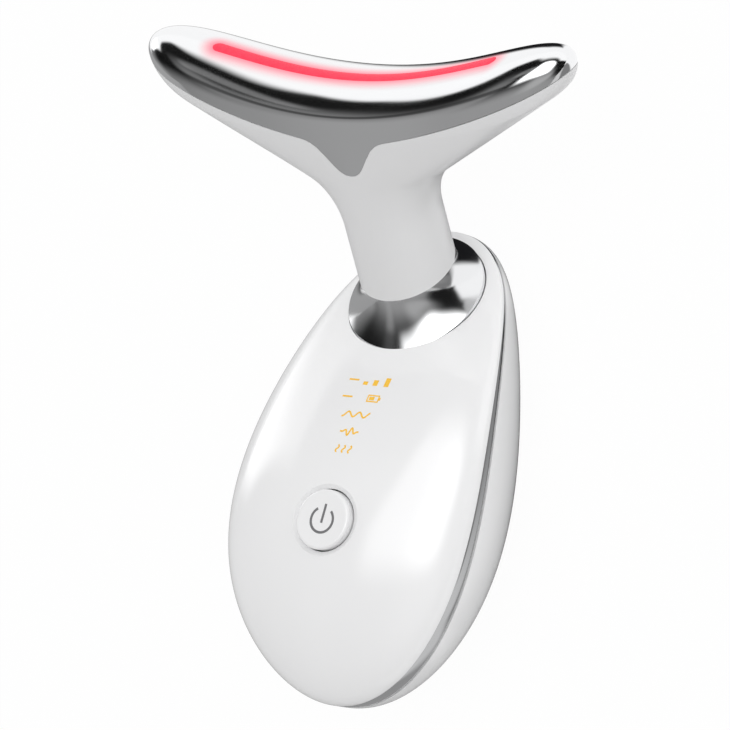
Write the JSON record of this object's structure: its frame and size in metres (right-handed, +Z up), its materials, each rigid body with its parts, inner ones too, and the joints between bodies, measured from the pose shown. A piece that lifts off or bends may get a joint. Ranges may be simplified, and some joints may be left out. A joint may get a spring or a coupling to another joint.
{
  "type": "face and neck massager",
  "caption": "Hand-held face and neck massager: egg-shaped handle with a power button, flared neck collar and a winged massage head with a light strip; lies on its back.",
  "frame": {"origin": "on the flat of the rear cover that the part rests on, below the middle of the handle", "axes": "+Z up, against the travel of the power button; +Y from the tail of the handle towards the head; +X to the right"},
  "size_m": [0.0946, 0.1262, 0.0557],
  "materials": {
    "cover_white": "gloss",
    "shell_white": "satin",
    "plated": "mirror plating",
    "light_red": "frosted, lit",
    "board_green": "solder mask",
    "black_plastic": "moulded",
    "mask_white": "moulded",
    "lamp": "clear",
    "steel": "brushed",
    "copper": "wound wire",
    "cell_wrap": "film",
    "foam": "foam",
    "rubber_grey": "moulded",
    "film_amber": "film",
    "tube_metal": "turned",
    "weight_metal": "sintered",
    "lead_black": "sheath"
  },
  "bodies": {
    "handle": {"front_cover": "cover_white", "trim_ring": "plated", "rear_cover": "cover_white", "switch_body": "black_plastic", "main_board": "board_green", "board_screws": "steel", "indicator_leds": "lamp", "light_mask": "mask_white", "control_chip": "black_plastic", "pulse_coil": "copper", "battery": "cell_wrap", "battery_pad": "foam", "charge_board": "board_green", "charge_board_screws": "steel", "charge_socket": "steel", "neck_collar": "plated", "neck_tube": "tube_metal", "neck_washer": "steel", "neck_nut": "tube_metal", "head_shell": "shell_white", "massage_plate": "plated", "light_window": "light_red", "light_board": "board_green", "light_leds": "lamp", "heater_film": "film_amber", "motor_can": "steel", "motor_boot": "rubber_grey", "head_lead": "lead_black"},
    "button": {"power_button": "cover_white", "switch_plunger": "black_plastic"},
    "rotor": {"motor_shaft": "steel", "eccentric_weight": "weight_metal"}
  },
  "joints": [
    {"name": "button_press", "type": "slide", "parent": "handle", "child": "button", "axis": [0, 0, -1], "range_m": [0, 0.0006], "stiffness_N_per_m": 3000},
    {"name": "rotor_spin", "type": "hinge", "parent": "handle", "child": "rotor", "pos_m": [0, 0.05116, 0.03603], "axis": [0, 0.7559, 0.6547], "continuous": true}
  ]
}
